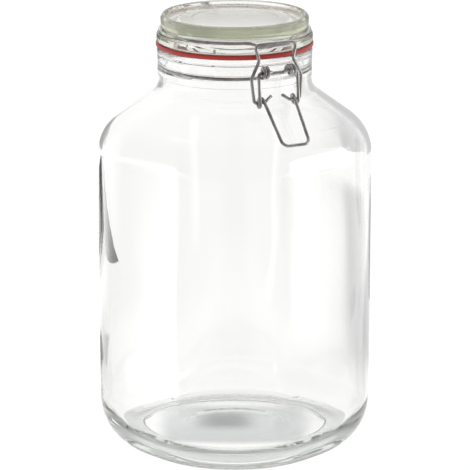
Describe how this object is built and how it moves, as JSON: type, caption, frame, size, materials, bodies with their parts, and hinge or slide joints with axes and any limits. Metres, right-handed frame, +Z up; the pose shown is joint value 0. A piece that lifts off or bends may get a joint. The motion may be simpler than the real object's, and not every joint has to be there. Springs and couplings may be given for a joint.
{
  "type": "preserving jar",
  "caption": "Tall clear glass preserving jar of soft square section, with a hinged glass lid, a red rubber ring and a sprung wire clasp with a finger loop.",
  "frame": {"origin": "centre of the jar's base, on the surface it stands on", "axes": "+Z up, -Y towards the clasp, +Y towards the lid's hinge, +X to the right of a person who faces the clasp"},
  "size_m": [0.1768, 0.1768, 0.2975],
  "materials": {
    "clear_glass": "clear, smooth, faint grey-green in the thick edges",
    "red_rubber": "satin",
    "bright_wire": "bright drawn steel wire"
  },
  "bodies": {
    "jar": {"jar_glass": "clear_glass", "neck_wire": "bright_wire"},
    "lid": {"lid_glass": "clear_glass", "lid_wire": "bright_wire", "gasket": "red_rubber"},
    "lever": {"lever_wire": "bright_wire"},
    "link": {"link_wire": "bright_wire"}
  },
  "joints": [
    {"name": "lid_hinge", "type": "hinge", "parent": "jar", "child": "lid", "pos_m": [0, 0.0583, 0.28415], "axis": [-1, 0, 0], "range_deg": [0, 95]},
    {"name": "lever_pivot", "type": "hinge", "parent": "jar", "child": "lever", "pos_m": [0, -0.0595, 0.2686], "axis": [-1, 0, 0], "range_deg": [0, 133]},
    {"name": "link_pivot", "type": "hinge", "parent": "lever", "child": "link", "pos_m": [0, -0.0584, 0.2488], "axis": [1, 0, 0], "range_deg": [0, 298.3]}
  ],
  "couplings": [
    {"joint": "lever_pivot", "follows": "lid_hinge", "ratio": 1.4},
    {"joint": "link_pivot", "follows": "lid_hinge", "ratio": 3.14}
  ]
}
